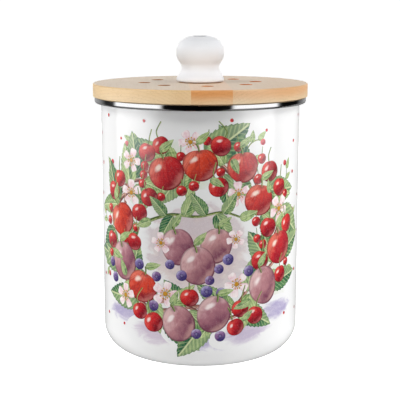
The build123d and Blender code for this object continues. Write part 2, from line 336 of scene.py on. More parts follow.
def petal_paint():
    m = Mat("print_petal")
    x, y = m.uv("paint")
    seed, tone = m.uv("tint")
    blot = m.noise(m.join(x * 1.6 + seed * 17.0, y * 1.6 + seed * 9.0, seed * 5.0), 1.7, 3.0, 0.55, 0.4)
    ray = m.noise(m.join(y / (x + 0.35) * 7.0 + seed * 7.0, x * 0.8, seed), 2.0, 2.0, 0.6)
    colour = m.mix((blot * 0.9 + x * 0.35).step(0.35, 0.85), srgb(232, 186, 198), srgb(252, 243, 242))
    colour = m.mix(x.step(0.45, 0.05) * 0.75, colour, m.mix(tone, srgb(196, 120, 148), srgb(206, 196, 120)))
    colour = m.mix(ray.step(0.52, 0.66) * x.step(1.0, 0.35) * 0.45, colour, srgb(206, 140, 160))
    half = (x.max(0.01).pow(0.8) * (1.0 - x.min(0.99).pow(3.2)).max(0.02).sqrt()) * 0.5
    edge = (y.abs() / half.max(0.03)).step(0.80, 1.0).max(x.step(0.90, 1.0))
    return enamel_coat(m, m.mix(edge * 0.42, colour, srgb(196, 132, 154)))


def centre_paint():
    m = Mat("print_centre")
    x, y = m.uv("paint")
    seed, tone = m.uv("tint")
    specks = m.cells(m.join(x * 1.0 + seed * 9.0, y * 1.0, seed), 4.2)
    d = (x * x + y * y).sqrt()
    colour = m.mix((specks * 1.5 + tone * 0.3).step(0.2, 0.9), srgb(240, 205, 92), srgb(196, 138, 44))
    return enamel_coat(m, m.mix((d + (y * -0.25 + x * 0.2)).step(0.72, 1.08) * 0.6, colour, srgb(140, 92, 40)))


def dot_paint(name, dark, body):
    m = Mat(name)
    x, y = m.uv("paint")
    seed, tone = m.uv("tint")
    blot, grain = brushwork(m, x, y, seed)
    d = (x * x + y * y).sqrt()
    colour = m.mix((y * 0.5 - x * 0.4 + (blot - 0.5) * 1.5).step(-0.5, 0.6), dark, m.mix(tone, body, srgb(228, 62, 60)))
    return enamel_coat(m, m.mix(d.step(0.80, 1.02) * 0.5, colour, dark))


def wash_paint():
    """A thin wash that ends in the bare white before its outline does."""
    m = Mat("print_wash")
    x, y = m.uv("paint")
    seed, tone = m.uv("tint")
    blot = m.noise(m.join(x * 1.4 + seed * 17.0, y * 1.4 + seed * 9.0, seed * 5.0), 1.5, 4.0, 0.62, 0.6)
    grain = m.noise(m.coords(), 1150.0, 3.0, 0.7)
    d = (x * x + y * y).sqrt()
    cover = (d + (blot - 0.5) * 0.9).step(0.84, 0.36)
    pool = (d + (blot - 0.5) * 0.9 - 0.62).abs().step(0.10, 0.0)
    green = srgb(206, 218, 186)
    rose = srgb(228, 200, 206)
    violet = srgb(150, 138, 190)
    colour = m.mix(tone.step(0.15, 0.5), green, rose)
    colour = m.mix(tone.step(0.55, 0.95), colour, violet)
    colour = m.mix((grain * 0.5 + blot * 0.6).step(0.42, 0.75) * 0.45, colour, srgb(236, 226, 234))
    fac = (cover * 0.80 + pool * cover * 0.2) * (0.62 + tone * 0.38)
    return enamel_coat(m, m.mix(fac, enamel_white(m), colour))


def mist_paint():
    """A wide pale wash with a soft edge, behind the middle."""
    m = Mat("print_mist")
    x, y = m.uv("paint")
    seed, tone = m.uv("tint")
    blot = m.noise(m.join(x * 1.5 + seed * 17.0, y * 1.5 + seed * 9.0, seed * 5.0), 2.3, 4.0, 0.62, 0.6)
    grain = m.noise(m.coords(), 1150.0, 3.0, 0.7)
    edge = (x * x + y * y).sqrt() + (blot - 0.5) * 0.7
    cover = edge.step(0.82, 0.50) * (0.62 + (blot - 0.5) * 0.9)
    pool = (edge - 0.66).abs().step(0.07, 0.0) * 0.16
    colour = m.mix(blot.step(0.36, 0.62), srgb(184, 150, 160), srgb(216, 190, 184))
    colour = m.mix(grain.step(0.42, 0.72) * 0.35, colour, srgb(238, 226, 224))
    return enamel_coat(m, m.mix((cover + pool).clamp(), enamel_white(m), colour))


PAINTS = {
    "wash": wash_paint(),
    "mist": mist_paint(),
    "vine": stem_paint("print_vine", srgb(104, 58, 60), srgb(176, 122, 108), srgb(232, 198, 178)),
    "stem": stem_paint("print_stem", srgb(74, 98, 48), srgb(134, 152, 84), srgb(206, 214, 150)),
    "leaf": leaf_paint(),
    "cherry": fruit_paint("print_cherry", (-0.8, 0.25), srgb(214, 44, 44), srgb(112, 10, 30), srgb(176, 20, 38),
                          srgb(232, 84, 74), srgb(252, 228, 222), srgb(214, 110, 112)),
    "apple": fruit_paint("print_apple", (-0.9, 0.1), srgb(222, 74, 48), srgb(132, 18, 38), srgb(192, 30, 48),
                         srgb(238, 128, 106), srgb(252, 232, 218), srgb(222, 138, 128), 0.40),
    "plum": fruit_paint("print_plum", (-0.9, 0.35), srgb(206, 154, 150), srgb(120, 66, 88), srgb(176, 116, 130),
                        srgb(230, 196, 194), srgb(252, 240, 238), srgb(220, 172, 164), 0.14),
    "berry": berry_paint(),
    "petal": petal_paint(),
    "centre": centre_paint(),
    "bud": dot_paint("print_bud", srgb(176, 60, 76), srgb(232, 128, 128)),
    "dot": dot_paint("print_dot", srgb(164, 14, 28), srgb(206, 28, 40)),
}


# ------------------------------------------------------------------ printed design
# A generic fruit and flower wreath, drawn flat and wrapped on the wall as one thin layer. Flat artwork
# is in millimetres: s runs to the right round the can from its front, z is the height.
PRINT_R = 78.86
rng = random.Random(41)
motifs = []        # (kind, faces as point lists, wall point to paint coordinates, tint)


def rand(a, b):
    return a + (b - a) * rng.random()


def placed(s, z, angle, size, stretch=1.0):
    """Local (x, y) to the wall and back."""
    c, k = math.cos(math.radians(angle)), math.sin(math.radians(angle))

    def out(x, y):
        return (s + size * (x * c - y * k), z + size * (x * k + y * c))

    def back(p):
        dx, dz = (p[0] - s) / size, (p[1] - z) / size
        return (dx * c + dz * k, (-dx * k + dz * c) / stretch)
    return out, back


def add(kind, faces, back, tone=0.5):
    motifs.append((kind, faces, back, (rng.random(), tone)))


def disc(kind, s, z, r, angle=0.0, dent=0.0, stretch=1.0, tone=0.5, points=34, wobble=0.015):
    """A round thing. dent is the hollow where its stem sits, at +y."""
    out, back = placed(s, z, angle, r, stretch)
    phase = rand(0, 6.28)
    pts = []
    for i in range(points):
        a = 2 * math.pi * i / points
        off = math.atan2(math.sin(a - math.pi / 2), math.cos(a - math.pi / 2))
        q = 1 - dent * math.exp(-(off / 0.42) ** 2) + wobble * math.sin(3 * a + phase)
        pts.append(out(q * math.cos(a), q * math.sin(a) * stretch))
    add(kind, [pts], back, tone)


def leaf_half(u):
    return 2.6 * math.sqrt(max(u, 0)) * (1 - u)


def leaf(s, z, angle, length, width=0.5, bend=0.0, teeth=9, tooth=0.09, tone=0.5, kind="leaf"):
    """A leaf from its foot at (s, z). width is against its length; tone 0 is dark, 1 pale."""
    out, _ = placed(s, z, angle, length)
    c, k = math.cos(math.radians(angle)), math.sin(math.radians(angle))

    def back(p):
        dx, dz = (p[0] - s) / length, (p[1] - z) / length
        x, y = dx * c + dz * k, -dx * k + dz * c
        return (x, (y - bend * x * x) * 2 / width)
    n = max(teeth * 4, 16)
    top, low = [], []
    for i in range(n + 1):
        u = i / n
        saw = (u * teeth) % 1.0 if teeth else 0.5
        edge = leaf_half(u) * width / 2 * (1 + tooth * (saw - 0.5) * (1 if 0.08 < u < 0.97 else 0))
        lean = tooth * 0.25 * saw * width * (1 if 0.08 < u < 0.95 else 0)
        top.append(out(min(u + lean, 1.0), edge + bend * (u + lean) ** 2))
        low.append(out(min(u + lean, 1.0), -edge + bend * (u + lean) ** 2))
    add(kind, [top[:-1] + [top[-1]] + low[1:-1][::-1]], back, tone)


def curve(points, steps=10):
    """A smooth line through points."""
    out = []
    p = [points[0]] + list(points) + [points[-1]]
    for i in range(1, len(p) - 2):
        for k in range(steps):
            t = k / steps
            q = []
            for d in (0, 1):
                a, b, c, e = p[i - 1][d], p[i][d], p[i + 1][d], p[i + 2][d]
                q.append(0.5 * (2 * b + (c - a) * t + (2 * a - 5 * b + 4 * c - e) * t * t
                                + (3 * b - a - 3 * c + e) * t ** 3))
            out.append(tuple(q))
    out.append(tuple(points[-1]))
    return out


def ribbon(kind, line, w0, w1=None, tone=0.5):
    """A stem or vine along a line, w0 wide at its start and w1 at its end."""
    w1 = w0 if w1 is None else w1
    n = len(line)
    run = [0.0]
    for a, b in zip(line[:-1], line[1:]):
        run.append(run[-1] + math.hypot(b[0] - a[0], b[1] - a[1]))
    sides = []
    for i, p in enumerate(line):
        a, b = line[max(i - 1, 0)], line[min(i + 1, n - 1)]
        dx, dz = b[0] - a[0], b[1] - a[1]
        d = math.hypot(dx, dz) or 1.0
        h = (w0 + (w1 - w0) * i / (n - 1)) / 2
        sides.append(((p[0] - dz / d * h, p[1] + dx / d * h), (p[0] + dz / d * h, p[1] - dx / d * h)))

    def back(q):
        best = None
        for i in range(n - 1):
            a, b = line[i], line[i + 1]
            dx, dz = b[0] - a[0], b[1] - a[1]
            dd = dx * dx + dz * dz or 1e-9
            t = min(max(((q[0] - a[0]) * dx + (q[1] - a[1]) * dz) / dd, 0), 1)
            ex, ez = q[0] - a[0] - t * dx, q[1] - a[1] - t * dz
            dist = ex * ex + ez * ez
            if best is None or dist < best[0]:
                side = (dx * ez - dz * ex) / math.sqrt(dd)
                best = (dist, run[i] + t * math.sqrt(dd), side / (w0 / 2))
        return (best[1] / 10.0, best[2])
    faces = []
    for i in range(n - 1):
        (a, b), (c, d) = sides[i], sides[i + 1]
        faces += [[b, d, c], [b, c, a]]
    add(kind, faces, back, tone)


def petal(s, z, angle, length, width, tone, kind="petal"):
    out, back = placed(s, z, angle, length)
    n = 14
    top, low = [], []
    for i in range(n + 1):
        u = i / n
        h = width * (u ** 0.8) * math.sqrt(max(0.0, 1 - u ** 3.2)) * (1 + 0.05 * math.sin(7 * u + tone * 9))
        x = 0.06 + 0.94 * u - 0.10 * math.exp(-(h / 0.14) ** 2) * (1 if u > 0.6 else 0)
        top.append(out(x, h))
        low.append(out(x, -h))
    add(kind, [[out(0.03, 0)] + low[1:-1] + [out(0.93, 0)] + top[1:-1][::-1]], back, tone)


def blossom(s, z, r, angle, tone=0.4, tilt=0.0):
    for k in range(5):
        a = angle + 72 * k + rand(-5, 5)
        petal(s, z, a, r * rand(0.94, 1.06) * (1 - tilt * 0.25 * (1 + math.cos(math.radians(a - 90)))),
              rand(0.46, 0.54), tone + rand(-0.15, 0.15))
    for k in range(11):
        a = math.radians(angle + 33 * k + rand(-8, 8))
        d = r * rand(0.30, 0.42)
        ribbon("stem", [(s, z), (s + d * math.cos(a), z + d * math.sin(a))], 0.35, 0.35, 0.75)
        disc("centre", s + d * math.cos(a), z + d * math.sin(a), r * 0.05 + 0.12, points=7, tone=0.2)
    disc("centre", s, z, r * 0.17, points=18, tone=0.7, wobble=0.05)


def stem(line, w=1.3, tone=0.5, w1=None):
    ribbon("stem", curve(line, 7), w, w1 if w1 is not None else w * 0.8, tone)


def cherries(s, z, r, spread, lean, tone):
    """Two cherries that hang from one twig end at (s, z)."""
    for side in (-1, 1):
        x = s + side * spread * 0.5 + lean
        y = z - rand(20, 23) + (2.5 if side > 0 else 0)
        stem([(s, z), (s + side * spread * 0.16, z - 7), (x - side * 0.5, y + r * 1.02)], 1.15, 0.35)
        disc("cherry", x, y, r * rand(0.95, 1.05), rand(-12, 12), 0.10, 0.96, tone + rand(-0.25, 0.25))
    leaf(s, z, 112, 15, 0.42, 0.10, 6, 0.09, 0.75)
    disc("stem", s, z, 1.5, points=10, tone=0.2)


def fruit(kind, s, z, r, angle, tone):
    if kind == "apple":
        disc(kind, s, z, r, angle, 0.11, 0.93, tone, 40)
    else:
        disc(kind, s, z, r, angle, 0.05, 1.14, tone, 40)
    a = math.radians(angle + 90)
    top = (s + r * 0.74 * math.cos(a), z + r * 0.74 * math.sin(a))
    tip = (top[0] + 6.5 * math.cos(a + 0.25), top[1] + 6.5 * math.sin(a + 0.25))
    stem([top, ((top[0] + tip[0]) / 2 + 0.4, (top[1] + tip[1]) / 2), tip], 1.2, 0.2, 1.7)
    leaf(tip[0], tip[1], angle + 90 + rand(-75, -45), r * 1.0, 0.45, 0.12, 5, 0.08, rand(0.6, 0.95))


WREATH = (-3.0, 103.0, 67.0, 57.0)


def on_wreath(t, off=0.0):
    """Point at t degrees round the wreath, off millimetres outside its middle line, and its outward angle."""
    cs, cz, a, b = WREATH
    r = math.radians(t)
    nx, nz = b * math.cos(r), a * math.sin(r)
    d = math.hypot(nx, nz)
    return cs + a * math.cos(r) + off * nx / d, cz + b * math.sin(r) + off * nz / d, math.degrees(math.atan2(nz, nx))


# soft washes: green behind the band, violet and rose where it lies in shade below
for k in range(12):
    s, z, n = on_wreath(30 * k + rand(-8, 8), rand(-5, 8))
    disc("wash", s, z, rand(26, 34), rand(0, 180), 0, rand(0.6, 0.8), rand(0.0, 0.25), 30, 0.03)
for s, z, r, tone in ((-64, 42, 30, 0.9), (-32, 31, 32, 0.75), (4, 28, 34, 1.0), (38, 32, 32, 0.8), (66, 43, 27, 0.95)):
    disc("wash", s, z, r, rand(-12, 12), 0, 0.42, tone, 34, 0.03)
disc("wash", -2, 100, 44, 0, 0, 0.78, 0.45, 40, 0.03)
kept_state = rng.getstate()
disc("mist", -2, 95, 55, 0, 0, 0.86, 0.5, 60, 0.02)
rng.setstate(kept_state)

# vines
for k, (phase, swing, w, tone) in enumerate(((0, 6.5, 3.3, 0.55), (2.1, 7.5, 2.7, 0.35), (4.2, 6.0, 2.9, 0.8))):
    line = []
    for i in range(121):
        s, z, n = on_wreath(3 * i + 11 * k, swing * math.sin(math.radians(15 * i) + phase))
        line.append((s, z))
    ribbon("vine", line, w, w, tone)

# tendrils and sprigs that reach out of the band
for t, turn, size in ((28, 1, 20), (62, -1, 17), (121, 1, 18), (151, -1, 19), (198, 1, 15), (340, -1, 15), (4, 1, 14), (176, -1, 14)):
    s, z, n = on_wreath(t, 16)
    a = math.radians(n)
    pts = []
    for i in range(7):
        q = a + turn * 0.34 * i
        pts.append((s, z))
        s += size * 0.24 * math.cos(q) * (1 - i * 0.09)
        z += size * 0.24 * math.sin(q) * (1 - i * 0.09)
    ribbon("stem", curve(pts, 6), 1.2, 0.5, 0.6)
    for i in (2, 4):
        leaf(pts[i][0], pts[i][1], math.degrees(a) - turn * 50 + 20 * i * turn, rand(7, 10), 0.5, 0.1, 0, 0, rand(0.7, 1))
    disc("bud", pts[-1][0], pts[-1][1], rand(1.9, 2.5), points=14, tone=rand(0, 1))

# leaves behind
for k in range(30):
    t = 12 * k + rand(-3, 3)
    way = 1 if k % 2 else -1
    s, z, n = on_wreath(t, rand(1, 7) * way)
    side = rand(28, 58) * (1 if rng.random() < 0.5 else -1)
    turn = n + side if way > 0 else n + 180 + side
    size = rand(33, 41) if way > 0 else rand(24, 31)
    leaf(s, z, turn, size, rand(0.5, 0.62), rand(-0.14, 0.14), 10, 0.13, rand(0.0, 0.5))
# leaves in front, paler
for k in range(26):
    t = 360 / 26 * k + rand(-4, 4)
    way = 1 if (k * 7) % 3 else -1
    s, z, n = on_wreath(t + 5, rand(-3, 6) * way)
    side = rand(20, 50) * (1 if (k * 5) % 2 else -1)
    turn = n + side if way > 0 else n + 180 + side
    leaf(s, z, turn, rand(22, 33) if way > 0 else rand(18, 24), rand(0.42, 0.55), rand(-0.16, 0.16), 8, 0.12,
         rand(0.45, 1.0))

# fruit and flowers along the band, packed from the large to the small
things = []


def room(s, z, r, slack):
    return all(math.hypot(s - a, z - b) > slack * (r + c) for a, b, c, _, _ in things)


def pack(kind, count, low, high, spans, offs, slack):
    made = 0
    for _ in range(4000):
        if made == count:
            return
        span = spans[made % len(spans)]
        s, z, n = on_wreath(rand(*span), rand(*offs))
        r = rand(low, high)
        if room(s, z, r, slack):
            things.append((s, z, r, kind, rng.random()))
            made += 1


pack("apple", 8, 12.6, 14.4, [(20, 70), (70, 110), (110, 165), (160, 200), (345, 375), (215, 245)], (-7, 9), 0.95)
pack("plum", 7, 11.6, 13.6, [(195, 235), (235, 270), (270, 300), (300, 345), (255, 285)], (-9, 9), 0.93)
pack("blossom", 8, 9.5, 11.5, [(0, 60), (120, 180), (60, 120), (180, 240), (240, 300), (300, 360)], (-15, 17), 0.80)
pack("cherry", 26, 7.0, 8.6, [(0, 90), (90, 180), (180, 270), (270, 360)], (-16, 17), 0.90)
pack("currant", 22, 3.3, 4.3, [(20, 100), (80, 160), (130, 200), (-20, 40)], (-19, 19), 0.92)
pack("berry", 17, 3.9, 4.8, [(190, 270), (270, 350)], (-19, 19), 0.92)
for s, z, r, kind, q in sorted(things, key=lambda i: -i[1]):
    if kind in ("apple", "plum"):
        fruit(kind, s, z, r, rand(-28, 28), q)
    elif kind == "blossom":
        blossom(s, z, r, rand(0, 72), 0.2 + 0.6 * q)
    elif kind == "cherry":
        a = math.radians(rand(60, 120))
        top = (s + r * 0.85 * math.cos(a), z + r * 0.85 * math.sin(a))
        stem([top, (top[0] + 2.5 * math.cos(a), top[1] + 5), (top[0] + rand(-5, 5), top[1] + rand(10, 13))], 1.15, 0.4)
        disc("cherry", s, z, r, math.degrees(a) - 90, 0.10, 0.96, q)
    elif kind == "currant":
        stem([(s, z + r * 0.8), (s + rand(-2, 2), z + r + 5)], 0.7, 0.6)
        disc("cherry", s, z, r, rand(-20, 20), 0.04, 1.0, 0.5 + 0.5 * q, 20)
    else:
        disc("berry", s, z, r, rand(-40, 40), 0, 1.0, q, 22)

# small leaves over the joints of the clusters
for k in range(22):
    s, z, n = on_wreath(16.4 * k + rand(-5, 5), rand(-12, 14))
    if all(math.hypot(s - a, z - b) > 0.55 * c + 3 for a, b, c, kind, _ in things if kind not in ("berry", "currant")):
        leaf(s, z, rand(0, 360), rand(11, 16), rand(0.42, 0.52), rand(-0.15, 0.15), 6, 0.10, rand(0.5, 1.0))

# the middle: a twig with plums and leaves
stem([(-40, 116), (-22, 122), (-2, 121), (16, 124), (32, 119)], 2.6, 0.1, 1.5)
for s, z, a, size, tone in ((-26, 121, 128, 19, 0.3), (-12, 121, 62, 21, 0.65), (4, 122, 118, 20, 0.2), (17, 123, 50, 19, 0.5),
                            (30, 119, 8, 16, 0.8), (-38, 116, 196, 15, 0.7), (-20, 121, 236, 24, 0.15), (12, 123, 296, 25, 0.35)):
    leaf(s, z, a, size, 0.5, 0.1, 8, 0.12, tone)
for s, z, r, a, tone in ((-17, 98, 12.5, 8, 0.2), (12, 99, 12.0, -12, 0.7), (-2, 84, 13.2, 3, 0.45)):
    fruit("plum", s, z, r, a, tone)
blossom(-30, 100, 8.5, 20, 0.5)
blossom(27, 103, 8.0, 50, 0.3)
for s, z in ((-14, 76), (14, 81), (-23, 84), (21, 88), (7, 72.5)):
    disc("berry", s, z, rand(3.6, 4.4), rand(-30, 30), 0, 1.0, rng.random(), 20)

# little red dots, strewn all round
spots = []
for _ in range(6000):
    s, z = rand(-247, 247), rand(30, 192)
    clear = math.hypot((s - WREATH[0]) / 104, (z - WREATH[1]) / 90) > 1
    if clear and all(math.hypot(min(abs(s - a), 495.5 - abs(s - a)), z - b) > 23 for a, b in spots):
        spots.append((s, z))
for s, z in spots:
    disc("dot", s, z, rand(1.15, 1.45), rand(0, 180), 0, rand(0.95, 1.2), rng.random(), 12, 0.05)

# the bottom corner of the can starts at 20 mm: below that the artwork follows its round
CORNER, CORNER_R = 20.0, 20.0


def on_wall(s, z):
    """Wall point and outward direction, in millimetres."""
    a = s / PRINT_R
    r, h, flat, up = PRINT_R, z, 1.0, 0.0
    if z < CORNER:
        q = (CORNER - z) / CORNER_R
        r = PRINT_R - CORNER_R * (1 - math.cos(q))
        h = CORNER - CORNER_R * math.sin(q)
        flat, up = math.cos(q), -math.sin(q)
    return (r * math.sin(a), -r * math.cos(a), h), (flat * math.sin(a), -flat * math.cos(a), up)


def holds(polygon, p):
    inside = False
    for (ax, ay), (bx, by) in zip(polygon, polygon[1:] + polygon[:1]):
        if (ay > p[1]) != (by > p[1]) and p[0] < ax + (p[1] - ay) / (by - ay) * (bx - ax):
            inside = not inside
    return inside


def wrap_design():
    """One layer of triangles in which every triangle shows the topmost motif over it."""
    points, faces, shapes, owner, lines = [], [], [], [], []
    for m, (kind, polygons, back, tint) in enumerate(motifs):
        for polygon in polygons:
            twice = sum(a[0] * b[1] - b[0] * a[1] for a, b in zip(polygon, polygon[1:] + polygon[:1]))
            if abs(twice) < 1e-3:
                continue
            polygon = polygon if twice > 0 else polygon[::-1]
            faces.append(list(range(len(points), len(points) + len(polygon))))
            points.extend(Vector(p) for p in polygon)
            shapes.append(polygon)
            owner.append(m)
    wide = [p.x for p in points if abs(p.x) < 118]
    for i in range(int(min(wide) // 4), int(max(wide) // 4) + 2):
        lines.append((len(points), len(points) + 1))
        points.extend((Vector((i * 4.0, 6.0)), Vector((i * 4.0, 197.0))))
    for z in (8, 10, 12, 14, 16, 18, 20):
        lines.append((len(points), len(points) + 1))
        points.extend((Vector((-120.0, z)), Vector((120.0, z))))
    verts, _, tris, _, _, origin = delaunay_2d_cdt(points, lines, faces, 1, 1e-4, True)
    kept, top = [], []
    for tri, over in zip(tris, origin):
        mid = (sum(verts[v].x for v in tri) / 3, sum(verts[v].y for v in tri) / 3)
        for f in sorted(over, reverse=True):
            if holds(shapes[f], mid):
                kept.append(tri)
                top.append(owner[f])
                break
    used = sorted({i for tri in kept for i in tri})
    index = {v: i for i, v in enumerate(used)}
    flat = [(verts[v].x, verts[v].y) for v in used]
    shaped = [on_wall(*p) for p in flat]
    mesh = bpy.data.meshes.new("printed_design")
    turned = []
    for tri in kept:
        a, b, c = (index[v] for v in tri)
        (ax, ay), (bx, by), (cx, cy) = flat[a], flat[b], flat[c]
        turned.append((a, b, c) if (bx - ax) * (cy - ay) - (by - ay) * (cx - ax) > 0 else (a, c, b))
    mesh.from_pydata([tuple(k * 0.001 for k in p) for p, _ in shaped], [], turned)
    kinds = list(dict.fromkeys(kind for kind, _, _, _ in motifs))
    for kind in kinds:
        mesh.materials.append(PAINTS[kind].mat)
    paint_uv, tint_uv = mesh.uv_layers.new(name="paint"), mesh.uv_layers.new(name="tint")
    for poly, m in zip(mesh.polygons, top):
        kind, _, back, tint = motifs[m]
        poly.material_index = kinds.index(kind)
        poly.use_smooth = True
        for loop, v in zip(poly.loop_indices, poly.vertices):
            paint_uv.data[loop].uv = back(flat[v])
            tint_uv.data[loop].uv = tint
    mesh.normals_split_custom_set_from_vertices([n for _, n in shaped])
    o = bpy.data.objects.new("printed_design", mesh)
    SCENE.collection.objects.link(o)
    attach(o, "can")
    print("printed design:", len(mesh.vertices), "points,", len(mesh.polygons), "triangles")
    return o


PRINTED = wrap_design()


# ------------------------------------------------------------------ rim band
def make_steel_band():
    m = Mat("polished_steel", metallic=1.0, roughness=0.07)
    x, y, z = m.split(m.coords())
    r = (x * x + y * y).sqrt()
    turn = m.join(x * 12.0, y * 12.0, z * 5200.0 + r * 5200.0)
    lines = m.noise(turn, 1.0, 3.0, 0.6)
    smear = m.noise(m.coords(), 60.0, 3.0, 0.6)
    m.set("Base Color", m.mix(smear, (0.80, 0.80, 0.80), (0.72, 0.72, 0.73)))
    m.set("Roughness", lines * 0.05 + smear * 0.05 + 0.03)
    m.bump(lines, 0.05, 0.00008)
    return m


paint("rim_band", make_steel_band())


# ------------------------------------------------------------------ wood
def make_wood(name, light, dark, seed, heart, edge, upper, lower, brow_shade, top, vent_shade):
    """One stave: annual rings about a heart line that runs along Y, pores, and a thin satin finish.
    Factors on its colour: edge all over the turned edge, upper and lower at that edge's top and foot,
    brow for the painted shade on its rounding, top for the painted shade on the flat, hole for the painted shade in the
    vents."""
    m = Mat(name, specular=0.45, coat=0.12, coat_roughness=0.3)
    c = m.coords(shift=(seed * 0.37, seed * 0.21, seed * 0.13), turn=2.5)
    x, y, z = m.split(c)
    wander = m.noise(m.join(x * 16.0, y * 5.0, z * 16.0), 1.0, 2.0, 0.5)
    fine = m.noise(m.join(x * 60.0, y * 9.0, z * 60.0), 1.0, 3.0, 0.6)
    x0, y0, z0 = m.split(m.coords(turn=2.5))
    dx, dz = x0 - heart[0] + wander * 0.012, z0 - heart[1]
    rings = (dx * dx + dz * dz).sqrt() * 420.0 + fine * 0.8
    ring = rings.frac()
    late = ring.step(0.55, 0.92) * ring.step(1.0, 0.93)
    streak = m.noise(m.join(x * 700.0, y * 26.0, z * 700.0), 1.0, 3.0, 0.65)
    pore = m.noise(m.join(x * 1500.0, y * 90.0, z * 1500.0), 1.0, 1.0, 0.5)
    broad = m.noise(m.join(x * 24.0, y * 5.0, z * 30.0), 1.0, 2.0, 0.5)
    base = m.mix(broad.step(0.3, 0.75), light, dark)
    base = m.mix(late * 0.16, base, tuple(k * 0.72 for k in dark))
    base = m.mix(streak.step(0.45, 0.8) * 0.3, base, tuple(k * 0.8 for k in dark))
    base = m.mix(pore.step(0.66, 0.74) * 0.35, base, tuple(k * 0.45 for k in dark))
    # painted shade: the top face is darkened and greyed, the rounding and the vents' walls are darkened; the turned
    # edge is graded from its top to its foot
    shaded_top = m.mix(1.0, m.mix(0.5, base, WOOD_MEAN), (0.62, 0.70, 0.95), "MULTIPLY")
    shaded_top = m.mix(1.0, shaded_top, top, "MULTIPLY")
    ox, oy, oz = m.split(m.coords())
    up = m.facing_up()
    grade = m.mix((oz + (broad - 0.5) * 0.0022).step(0.2040, 0.2112), lower, upper)
    warm = m.mix(1.0, m.mix(1.0, base, edge, "MULTIPLY"), grade, "MULTIPLY")
    # painted shade: the rounding between the edge and the top face is darkened by the brow factor
    warm = m.mix(up.step(0.12, 0.45), warm, m.mix(1.0, warm, brow_shade, "MULTIPLY"))
    sector = ((oy.math("ARCTAN2", ox) / math.pi * 4.0 - 7.0 / 45.0 + 8.5).frac() - 0.5) * (math.pi / 4)
    run = (ox * ox + oy * oy).sqrt()
    vx, vy = run * sector.math("COSINE") - 0.0445, run * sector.sin()
    vent = (vx * vx + vy * vy).sqrt().step(0.0056, 0.0053)
    # painted shade: the vents' walls are darkened by the hole factor, darker still towards their foot
    vent_depth_shade = m.mix(oz.step(0.2116, 0.2133), tuple(k * 0.5 for k in vent_shade), vent_shade)
    warm = m.mix(vent, warm, m.mix(1.0, base, vent_depth_shade, "MULTIPLY"))
    m.set("Base Color", m.mix(up.step(0.80, 0.97), warm, shaded_top))
    m.set("Roughness", streak * 0.16 + 0.36 + vent * 0.45)
    m.bump(pore.step(0.72, 0.6) * 0.6 + streak * 0.5 + late * 0.3, 0.14, 0.00025)
    return m


WOOD_MEAN = srgb(226, 192, 146)
# per stave: light, dark, seed, heart, edge, upper, lower, then the painted shade factors: brow on the rounding, top on
# the shaded flat face, hole in the vents
STAVES = {
    "lid_stave_1": (srgb(244, 214, 168), srgb(234, 194, 142), 1.3, (-0.050, 0.150), (0.92, 0.925, 0.94),
                    (1.0, 0.97, 0.92), (1.0, 1.02, 1.05), (0.80, 0.76, 0.70), (1.03, 1.03, 1.03), (0.42, 0.20, 0.035)),
    "lid_stave_2": (srgb(232, 184, 130), srgb(222, 164, 104), 4.1, (0.012, 0.170), (0.97, 0.95, 1.02),
                    (0.95, 0.74, 0.48), (1.0, 1.16, 1.33), (0.90, 0.95, 1.05), (1.20, 1.20, 1.23), (0.82, 0.44, 0.04)),
    "lid_stave_3": (srgb(238, 202, 154), srgb(228, 184, 130), 5.7, (0.060, 0.155), (0.91, 0.91, 0.97),
                    (0.97, 0.86, 0.79), (1.0, 1.13, 1.28), (0.86, 0.90, 0.95), (1.06, 1.06, 1.05), (0.72, 0.27, 0.03)),
}
for name, looks in STAVES.items():
    paint(name, make_wood("wood_" + name[-1], *looks))


# ------------------------------------------------------------------ knob and small parts
def make_porcelain():
    m = Mat("porcelain", specular=0.5)
    c = m.coords()
    cloud = m.noise(c, 45.0, 2.0, 0.5)
    speck = m.cells(c, 240.0)
    base = m.mix(cloud.step(0.3, 0.7), (0.865, 0.875, 0.90), (0.85, 0.86, 0.885))
    m.set("Base Color", m.mix(speck.step(0.02, 0.035), srgb(170, 150, 130), base))
    m.set("Roughness", cloud * 0.08 + 0.40)
    m.bump(m.noise(c, 110.0, 2.0, 0.5), 0.06, 0.0003)
    return m


def make_cork():
    m = Mat("cork_rubber", roughness=0.8, specular=0.2)
    c = m.coords()
    grain = m.cells(c, 900.0)
    m.set("Base Color", m.mix(grain.step(0.1, 0.6), srgb(206, 160, 122), srgb(160, 116, 84)))
    m.bump(grain, 0.5, 0.0002)
    return m


def make_plastic(name, colour, scale=1400.0):
    m = Mat(name, roughness=0.45, specular=0.4, subsurface=0.0)
    c = m.coords()
    grain = m.noise(c, scale, 2.0, 0.6)
    flow = m.noise(c, 30.0, 3.0, 0.5)
    m.set("Base Color", m.mix(flow.step(0.3, 0.7), colour, tuple(k * 0.95 for k in colour)))
    m.set("Roughness", grain * 0.12 + flow * 0.08 + 0.36)
    m.bump(grain, 0.18, 0.0001)
    return m


def make_metal(name, colour, roughness):
    m = Mat(name, metallic=1.0, roughness=roughness)
    c = m.coords()
    x, y, z = m.split(c)
    lines = m.noise(m.join(x * 900.0, y * 900.0, z * 5000.0), 1.0, 3.0, 0.6)
    tarnish = m.noise(c, 220.0, 3.0, 0.6)
    m.set("Base Color", m.mix(tarnish.step(0.35, 0.7), colour, tuple(k * 0.8 for k in colour)))
    m.set("Roughness", lines * 0.15 + tarnish * 0.1 + roughness - 0.1)
    m.bump(lines, 0.15, 0.00005)
    return m


def make_fleece():
    m = Mat("charcoal_fleece", roughness=0.95, specular=0.15, sheen=0.3)
    c = m.coords()
    fibre = m.noise(c, 1100.0, 4.0, 0.75, 1.2)
    clump = m.noise(c, 160.0, 3.0, 0.6)
    m.set("Base Color", m.mix(fibre.step(0.35, 0.75), (0.012, 0.012, 0.013), (0.06, 0.06, 0.062)))
    m.bump(fibre + clump * 0.8, 0.9, 0.0006)
    return m


